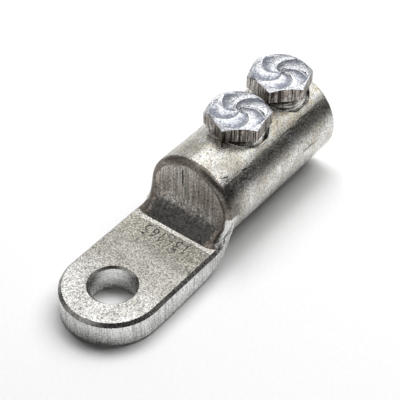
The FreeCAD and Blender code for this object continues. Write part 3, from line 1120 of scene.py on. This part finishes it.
@dataclass(frozen=True)
class Stroke:
    """A groove cut by a round tool: its path, its width and its depth, in mm."""

    path: tuple[Place, ...]
    outward: Place
    width: float
    depth: float
    tapered: bool = True

    def line(self) -> list[tuple[Vector, float]]:
        """Gives the tool's path above the surface with its radius at each point.

        Returns:
            The places, in metres, each with the radius in mm.
        """
        radius = (self.width**2 / 4.0 + self.depth**2) / (2.0 * self.depth)
        lift = Vector(self.outward).normalized() * (radius - self.depth)
        points = [(Vector(point), 0.0) for point in self.path]
        if self.tapered:
            first, last = (point for point, _ in points)
            points = [(first.lerp(last, share), rise) for share, rise in TAPER]
        out = Vector(self.outward)
        return [
            ((point + lift + out * rise * self.depth * 0.9) * MM, radius)
            for point, rise in points
        ]


# The strokes of each numeral, with places across and up as shares of its width and height.
NUMERALS: dict[str, tuple[tuple[Span, ...], ...]] = {
    "1": (((0.15, 0.78), (0.42, 1.0), (0.42, 0.0)),),
    "3": (
        ((0.05, 0.9), (0.3, 1.0), (0.55, 0.85), (0.5, 0.64), (0.22, 0.56)),
        ((0.34, 0.5), (0.55, 0.42), (0.6, 0.2), (0.35, 0.0), (0.05, 0.1)),
    ),
    "-": (((0.08, 0.45), (0.5, 0.45)),),
    "6": (
        (
            (0.5, 0.95), (0.2, 0.75), (0.05, 0.35), (0.2, 0.02),
            (0.45, 0.02), (0.6, 0.25), (0.45, 0.5), (0.2, 0.46),
        ),
    ),
    "5": (
        (
            (0.58, 1.0), (0.14, 1.0), (0.08, 0.56), (0.4, 0.6),
            (0.6, 0.35), (0.45, 0.03), (0.06, 0.06),
        ),
    ),
}


@dataclass
class LugBody:
    """The lug's one-piece body, with its struck sizes, its dents and its scratches."""

    name: str = "lug_skin"
    node: str = "lug_body"
    body: str = "lug"
    palm_top: float = 8.4
    crease_x: float = 26.5
    heel_end: float = 37.4
    step_centre: Span = (25.0, 16.26)
    step_radius: float = 8.0
    face_x: float = 33.0
    stud_radius: float = 6.5
    countersink_reach: float = 7.4
    bore_axis: float = 13.0
    bore_radius: float = 8.25
    bore_end: float = 37.0
    mouth_x: float = 84.8
    bolt_places: Span = (55.4, 75.7)
    recess_radius: float = 9.0
    recess_floor: float = 20.0
    recess_top: float = 26.0
    lip_radius: float = 0.24
    lip_points: int = 160
    lip_crease: float = 60.0
    crease_angle: float = 24.0
    wall_start: float = 27.7
    wall_top: float = 15.0
    wall_slope: float = 0.62
    wall_reach: float = 12.9
    foot_top: float = 11.0
    rim_end: float = 35.1
    rim_drop: float = 2.2
    struck_sizes: str = "13-165"
    numeral_middle: float = 22.3
    numeral_height: float = 3.7
    numeral_width: float = 2.9
    numeral_step: float = 2.75
    numeral_stroke: Span = (0.38, 0.15)

    def zone(self, centre: Vector, normal: Vector) -> Zone:
        """Says which surface a face belongs to.

        Args:
            centre: the face's middle, in mm.
            normal: its outward direction.

        Returns:
            The zone.
        """
        x, y, z = centre
        from_stud = math.hypot(x, y)
        inside = TOUCHING < z < self.palm_top - TOUCHING and abs(normal.z) < 0.95
        if inside and from_stud < self.countersink_reach:
            return Zone.BEVEL if from_stud > self.stud_radius + NEAR else Zone.STUD_WALL
        from_bore = math.hypot(y, z - self.bore_axis)
        if from_bore < self.bore_radius + NEAR and x > self.bore_end:
            return Zone.SOCKET
        recess = self.recess_radius + TOUCHING
        if any(math.hypot(x - place, y) < recess for place in self.bolt_places):
            if z > self.recess_floor and (abs(normal.z) < 0.2 or z < self.recess_top):
                return Zone.BOLT_HOLE
        if normal.x > 0.6 and x > self.mouth_x:
            return Zone.MOUTH
        if x < self.crease_x + 0.1 and (z < self.palm_top - NEAR or normal.z > 0.999):
            if abs(normal.z) > 0.9 or normal.z < -0.3:
                return Zone.PALM_TOP
            return Zone.BEVEL if normal.z > 0.3 else Zone.WALL
        reach = math.hypot(x - self.step_centre[0], z - self.step_centre[1])
        if abs(normal.y) < 0.02 and x < self.face_x + 0.05 and normal.x < 0.0:
            if abs(reach - self.step_radius) < 0.06 or x > self.face_x - TOUCHING:
                return Zone.STEP
        if self.wall_start < x < self.heel_end and z < self.wall_top:
            if y < 0.0 and (normal.y < -self.wall_slope or y < -self.wall_reach):
                return Zone.WALL
        if x < self.rim_end and z > self.palm_top - self.rim_drop and normal.x < -0.06:
            return Zone.RIM
        if x < self.heel_end and z < self.foot_top:
            return Zone.RIM if normal.z > 0.3 and x < self.crease_x + 2.2 else Zone.WALL
        return Zone.BARREL

    def numerals(self) -> list[Stroke]:
        """Lays out the struck sizes across the palm, read from the barrel's side.

        Returns:
            The strokes.
        """
        count = len(self.struck_sizes)
        strokes = []
        for place, character in enumerate(self.struck_sizes):
            start = (place - count / 2.0) * self.numeral_step
            foot = self.numeral_middle + self.numeral_height / 2.0
            for line in NUMERALS[character]:
                path = tuple(
                    (
                        foot - up * self.numeral_height,
                        start + across * self.numeral_width,
                        self.palm_top,
                    )
                    for across, up in line
                )
                strokes.append(Stroke(path, (0.0, 0.0, 1.0), *self.numeral_stroke, False))
        return strokes

    def scars(self) -> list[Stroke]:
        """Lists the dents and scratches that handling has left.

        Returns:
            The strokes.
        """
        strokes = [
            Stroke(((33.0, 2.05, 19.0), (33.0, 2.1, 26.0)), (-1.0, 0.0, 0.0), 0.6, 0.2),
            Stroke(((30.9, -0.7, 10.9), (31.9, -0.2, 12.6)), (-0.8, 0.0, 0.6), 0.45, 0.16),
            Stroke(((29.6, -1.9, 9.7), (30.3, -1.7, 10.3)), (-0.6, 0.0, 0.8), 0.4, 0.16),
            Stroke(((36.4, -8.7, 25.7), (38.8, -9.3, 25.2)), (0.0, -0.62, 0.78), 0.4, 0.14),
            Stroke(((43.8, -10.3, 24.22), (45.7, -10.4, 24.12)), (0.0, -0.73, 0.68), 0.5, 0.18),
            Stroke(((68.4, -14.01, 16.15), (75.7, -14.02, 16.1)), (0.0, -0.99, 0.12), 0.34, 0.12),
            Stroke(((-14.44, -2.4, 2.6), (-14.3, -3.4, 2.62)), (-0.98, -0.2, 0.0), 0.25, 0.1),
        ]
        for x, length, turn in (
            (64.6, 3.2, 46.6), (66.5, 2.4, 47.8), (68.0, 4.6, 49.2), (70.4, 3.6, 45.4),
            (72.2, 5.4, 47.0), (74.6, 3.0, 50.0), (76.2, 4.4, 48.4), (79.0, 3.2, 46.0),
            (65.2, 1.6, 51.2), (70.8, 1.2, 51.8),
        ):
            angle = math.radians(turn)
            across, up = -math.sin(angle), math.cos(angle)
            y, z = BARREL_RADIUS * across, BARREL_AXIS + BARREL_RADIUS * up
            strokes.append(Stroke(((x, y, z), (x + length, y, z)), (0.0, across, up), 0.28, 0.12))
        return strokes

    def cheeks(self) -> Mesh:
        """Fills the sides between the palm and the barrel, which bulge a little past both.

        Returns:
            The two fillings; each row of the table gives a place, the reach and the two heights.
        """
        inner = 12.0
        shape = (
            (24.0, 14.66, 1.2, 7.3),
            (27.0, 14.66, 1.6, 6.9),
            (28.2, 14.58, 2.2, 6.8),
            (29.7, 14.42, 3.0, 7.4),
            (31.3, 14.28, 4.6, 8.4),
            (33.0, 14.18, 7.0, 10.2),
            (34.4, 14.12, 9.4, 12.7),
            (35.6, 14.02, 11.6, 14.2),
        )
        return lofted(
            "heel_cheeks",
            [
                (x, ((inner, low), (half, low), (half, high), (inner, high)))
                for x, half, low, high in shape
            ],
        )

    def undercut(self) -> Mesh:
        """Makes the form that lifts the walls' lower edge in a curve up to the barrel.

        Returns:
            The form to take away on both sides.
        """
        outer, below, bulge_start, bulge_length = 17.0, -2.0, 31.0, 4.6
        shape = (
            (2.0, 14.9, 0.6, 14.1, -0.2),
            (20.5, 14.7, 1.5, 12.9, -0.05),
            (27.0, 14.66, 2.7, 11.8, 0.0),
            (30.0, 14.4, 3.9, 10.6, 0.25),
            (31.6, 14.25, 5.5, 9.6, 0.4),
            (33.0, 14.18, 7.5, 8.8, 0.75),
            (34.4, 14.12, 9.9, 8.5, 1.9),
            (35.6, 13.9, 11.9, 8.3, 3.1),
            (38.5, 13.9, 11.9, 8.3, 3.1),
        )
        sections = []
        for x, half, high, foot, low in shape:
            bulge = max(0.0, min(1.0, (x - bulge_start) / bulge_length))
            corners = [(outer, high), (half, high)]
            for share in (0.25, 0.5, 0.75):
                across, up = half + (foot - half) * share, high + (low - high) * share
                out = Vector((across, up - BARREL_AXIS))
                arched = out.normalized() * (BARREL_RADIUS + NEAR)
                across += (arched.x - across) * bulge
                corners.append((across, up + (arched.y + BARREL_AXIS - up) * bulge))
            sections.append((x, (*corners, (foot, low), (foot, below), (outer, below))))
        return lofted("heel_undercut", sections)

    def cutter(self, metal: Material) -> Mesh:
        """Sweeps the tool along every stroke.

        Args:
            metal: the material of the grooves.

        Returns:
            The swept tool, in metres.
        """
        points: list[Vector] = []
        edges: list[tuple[int, int]] = []
        radii: list[float] = []
        for stroke in self.numerals() + self.scars():
            first = len(points)
            for point, radius in stroke.line():
                points.append(point)
                radii.append(radius)
            edges += [(index, index + 1) for index in range(first, len(points) - 1)]
        paths = bpy.data.meshes.new("stroke_paths")
        paths.from_pydata([tuple(point) for point in points], edges, [])
        widths = paths.attributes.new("tool_radius", "FLOAT", "POINT")
        widths.data.foreach_set("value", radii)
        recipe = GeometryRecipe("groove_tool")
        unit = recipe.size("Tool unit", MM)
        curves = recipe.graph.node("GeometryNodeMeshToCurve", None, {0: recipe.source})
        swept = recipe.tube(curves, unit, recipe.noted("tool_radius"))
        return recipe.run(swept, [metal], paths, 0.0)

    def build(self, metals: Mapping[Zone, Material]) -> Object:
        """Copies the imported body, gives each face its finish and cuts the marks into it.

        Args:
            metals: the material of each zone.

        Returns:
            The piece, riding on its body in place of its node.
        """
        mesh = bpy.data.objects[self.node].data.copy()
        for layer in ("custom_normal", "sharp_face", "sharp_edge"):
            if layer in mesh.attributes:
                mesh.attributes.remove(mesh.attributes[layer])
        mesh.materials.clear()
        order = list(metals)
        for zone in order:
            mesh.materials.append(metals[zone])
        with opened(mesh) as shell:
            bmesh.ops.remove_doubles(shell, verts=shell.verts, dist=1e-6)
            for face in shell.faces:
                zone = self.zone(face.calc_center_median() / MM, face.normal)
                face.material_index = order.index(zone)
        holder = mesh_object(self.name, mesh)
        tools = []
        for made, operation, zone in (
            (self.cheeks(), "UNION", Zone.WALL),
            (self.undercut(), "DIFFERENCE", Zone.WALL),
            (self.cutter(metals[Zone.STRUCK]), "DIFFERENCE", Zone.STRUCK),
        ):
            made.materials.clear()
            made.materials.append(metals[zone])
            tool = mesh_object(made.name, made)
            carve = holder.modifiers.new(made.name, "BOOLEAN")
            carve.operation, carve.solver, carve.object = operation, "EXACT", tool
            carve.material_mode = "TRANSFER"
            tools.append(tool)
        mesh = taken_off(holder, self.name)
        for tool in tools:
            bpy.data.objects.remove(tool)
        crease_sharp(mesh, self.crease_angle)
        fence_off(mesh, metals[Zone.STRUCK])
        holder = mesh_object(self.name, mesh)
        evened = holder.modifiers.new("evened", "WEIGHTED_NORMAL")
        evened.keep_sharp, evened.weight = True, 60
        mesh = taken_off(holder, self.name)
        piece = mesh_object(self.name, mesh)
        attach(piece, self.body)
        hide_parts(self.node)
        LOG.info("%s: %d faces", self.name, len(mesh.polygons))
        return piece

    def lips(self, metal: Material) -> None:
        """Raises the thin burr round the mouth of each bolt's recess.

        Args:
            metal: the burr's material.
        """
        for number, place in enumerate(self.bolt_places):
            recipe = GeometryRecipe(("front", "rear")[number] + "_recess_lip")
            graph = recipe.graph
            reach = recipe.size("Recess radius", self.recess_radius)
            bead = recipe.size("Lip radius", self.lip_radius)
            seed = recipe.size("Seed", 4.0 + number)
            circle = recipe.ring(1.0, self.lip_points)
            x, y, _ = graph.parts(graph.node("GeometryNodeInputPosition"))
            ragged = graph.noise(graph.join(x * 5.0, y * 5.0, seed), 1.0, 2.0)
            side = y * reach
            rise = (BARREL_RADIUS**2 - side * side) ** 0.5 + (BARREL_AXIS - 0.05)
            laid = recipe.place(circle, (x * reach + place) * MM, side * MM, rise * MM)
            widths = ragged.ramp(0.35, 0.65, 0.25, 1.2)
            mesh = recipe.run(recipe.tube(laid, bead * MM, widths), [metal])
            crease_sharp(mesh, self.lip_crease)
            lip = mesh_object(recipe.tree.name, mesh)
            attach(lip, self.body)
            LOG.info("%s: %d faces", lip.name, len(mesh.polygons))


@dataclass(frozen=True)
class Lamp:
    """A round lamp that faces the object and is hidden from one kind of ray."""

    name: str
    bearing: float
    height: float
    half_angle: float
    radiance: float
    hidden_from: str
    distance: float = 0.9
    lit_place: Place = (0.04, 0.0, 0.012)

    def hang(self) -> None:
        """Hangs the lamp; its angles are in degrees, and a radiance of 1 shows as white."""
        radius = self.distance * math.tan(math.radians(self.half_angle))
        lamp = bpy.data.lights.new(self.name, "AREA")
        lamp.shape = "DISK"
        lamp.size = 2.0 * radius
        lamp.energy = self.radiance * math.pi * math.pi * radius**2
        turn, climb = math.radians(self.bearing), math.radians(self.height)
        flat = math.cos(climb)
        away = Vector((flat * math.cos(turn), flat * math.sin(turn), math.sin(climb)))
        holder = bpy.data.objects.new(self.name, lamp)
        holder.location = Vector(self.lit_place) + away * self.distance
        holder.rotation_euler = away.to_track_quat("Z", "Y").to_euler()
        setattr(holder, self.hidden_from, False)
        bpy.context.scene.collection.objects.link(holder)


@dataclass
class Studio:
    """The floor, the light and the camera."""

    target: Place = (29.29, 0.008, 10.0)
    camera_place: Place = (-168.8, -155.7, 251.6)
    roll: float = 0.07
    focal_length: float = 112.16
    sensor_width: float = 36.0
    shift: Span = (0.0491, 0.0524)
    lamps: tuple[Lamp, ...] = (
        Lamp("softbox", -14.0, 63.0, 40.0, 1.3, "visible_diffuse"),
        Lamp("side_lamp", 50.0, 68.0, 16.0, 11.8, "visible_glossy"),
        Lamp("end_lamp", -14.0, 56.0, 20.0, 7.7, "visible_glossy"),
    )
    room_level: float = 0.06
    panel_level: float = 0.85
    panel_direction: Place = (-0.567, 0.443, 0.695)
    sweep_level: float = 0.7
    sweep_bearing: float = 38.0
    horizon_heights: Span = (0.1, 0.26)
    floor_half: float = 3.0
    # Where the painted shade on the floor runs, in metres along y.
    floor_shade: Span = (-0.11, -0.045)
    paper_seen: float = 0.66
    paper_grain: float = 1.0 / 900.0

    def floor(self) -> None:
        """Lays the pale floor, which looks white to the camera and keeps its shadows, with painted
        shade darkening it towards the -y side in reflections.
        """
        mesh = bpy.data.meshes.new("studio_floor")
        half = self.floor_half
        corners = [(-half, -half, 0), (half, -half, 0), (half, half, 0), (-half, half, 0)]
        mesh.from_pydata(corners, [], [(0, 1, 2, 3)])
        floor = mesh_object("studio_floor", mesh)
        material = bpy.data.materials.new("floor_paper")
        material.use_nodes = True
        graph = Graph(material.node_tree)
        place = graph.node("ShaderNodeTexCoord", None, None, "Object")
        fibre = graph.noise(place, self.paper_grain).ramp(0.2, 0.8, 0.9, 0.93)
        direct = graph.node("ShaderNodeLightPath", None, None, "Is Camera Ray")
        glossy = graph.other(direct, "Is Glossy Ray")
        seen = direct.at_least(glossy)
        _, y, _ = graph.parts(place)
        # Painted shade: in reflections the floor darkens towards the -y side, standing in for light
        # that falls off.
        far = y.ramp(*self.floor_shade, 0.3, 1.0)
        pale = fibre * (seen * (self.paper_seen - 1.0) + 1.0) * (glossy * (far - 1.0) + 1.0)
        paper = graph.node("ShaderNodeBsdfDiffuse", None, {"Color": graph.join(pale, pale, pale)})
        graph.node("ShaderNodeOutputMaterial", None, {"Surface": paper})
        mesh.materials.append(material)
        floor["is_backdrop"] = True

    def room(self) -> None:
        """Sets the world: a dim room with a pale sweep behind the object, white to the camera."""
        world = bpy.data.worlds.new("studio_room")
        bpy.context.scene.world = world
        world.use_nodes = True
        graph = Graph(world.node_tree)
        x, y, z = graph.parts(graph.node("ShaderNodeTexCoord", None, None, "Generated"))
        bearing = math.radians(self.sweep_bearing)
        towards = x * math.cos(bearing) + y * math.sin(bearing)
        level = towards.ramp(0.52, 0.72, self.room_level, self.sweep_level)
        horizon = z.ramp(*self.horizon_heights, self.sweep_level, 0.0)
        horizon = horizon * x.ramp(-0.6, -0.2, 1.0, 0.0)
        direct = graph.node("ShaderNodeLightPath", None, None, "Is Camera Ray")
        ahead, aside, above = self.panel_direction
        facing = z * above + y * aside + x * ahead
        panel = facing.ramp(0.8, 0.9, 0.0, self.panel_level) * graph.other(direct, "Is Glossy Ray")
        level = level.at_least(horizon).at_least(panel)
        level = level * (1.0 - direct) + direct
        white = (1.0, 1.0, 1.0, 1.0)
        back = graph.node("ShaderNodeBackground", None, {"Color": white, "Strength": level})
        graph.node("ShaderNodeOutputWorld", None, {"Surface": back})

    def camera(self) -> None:
        """Sets the camera at the photograph's viewing angle."""
        lens = bpy.data.cameras.new("camera")
        lens.sensor_width = self.sensor_width
        lens.lens = self.focal_length
        lens.shift_x, lens.shift_y = self.shift
        lens.clip_start, lens.clip_end = 0.01, 20.0
        holder = bpy.data.objects.new("camera", lens)
        holder.location = Vector(self.camera_place) * MM
        ahead = Vector(self.target) - Vector(self.camera_place)
        look = ahead.to_track_quat("-Z", "Y").to_matrix()
        cosine, sine = math.cos(math.radians(self.roll)), math.sin(math.radians(self.roll))
        turned = look.copy()
        turned.col[0] = look.col[0] * cosine + look.col[1] * sine
        turned.col[1] = look.col[1] * cosine - look.col[0] * sine
        holder.rotation_euler = turned.to_euler()
        bpy.context.scene.collection.objects.link(holder)
        bpy.context.scene.camera = holder

    def build(self) -> None:
        """Puts up the whole studio."""
        self.floor()
        self.room()
        for lamp in self.lamps:
            lamp.hang()
        self.camera()
        bpy.context.scene.view_settings.view_transform = "Standard"
        LOG.info("studio ready")


def keep_sizes(after: tuple[Vector, Vector]) -> None:
    """Args:
        after: the dressed model's box; it is not used.
    """
    import json


def main() -> None:
    """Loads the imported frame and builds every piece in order."""
    logging.basicConfig(level=logging.INFO, format="%(name)s: %(message)s")
    for leftover in list(bpy.data.objects):
        bpy.data.objects.remove(leftover)
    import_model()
    metals_by_zone = {zone: zone.value.build() for zone in Zone}
    lug = LugBody()
    lug.build(metals_by_zone)
    lug.lips(metals_by_zone[Zone.LIP])
    # The thread's darker tint is painted shade under the heads.
    shank_metal = MetalFinish("thread_metal", tint=(0.72, 0.71, 0.69), soil=0.3).build()
    side_metal = MetalFinish(
        "hexagon_side_metal",
        tint=(1.0, 0.94, 0.88),
        blotch_tint=(0.6, 0.53, 0.48),
        soil=0.45,
        roughness=0.3,
        marks=Marks.UPRIGHT,
        mark_size=0.48,
        mark_depth=0.1,
        mark_soil=0.8,
        mark_tone=0.95,
    ).build()
    crown_metal = CrownFinish(
        "crown_metal",
        tint=(0.95, 0.965, 1.0),
        blotch_tint=(0.86, 0.88, 0.93),
        soil=0.2,
        roughness=0.18,
    ).build()
    metals = (shank_metal, side_metal, crown_metal)
    ShearBolt("front_shear_bolt", "shear_bolt_front", "front_bolt", 9.0, 3.0).build(metals)
    ShearBolt("rear_shear_bolt", "shear_bolt_rear", "rear_bolt", 16.5, 8.0).build(metals)
    Studio().build()
    keep_sizes(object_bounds())


if __name__ == "__main__":
    main()
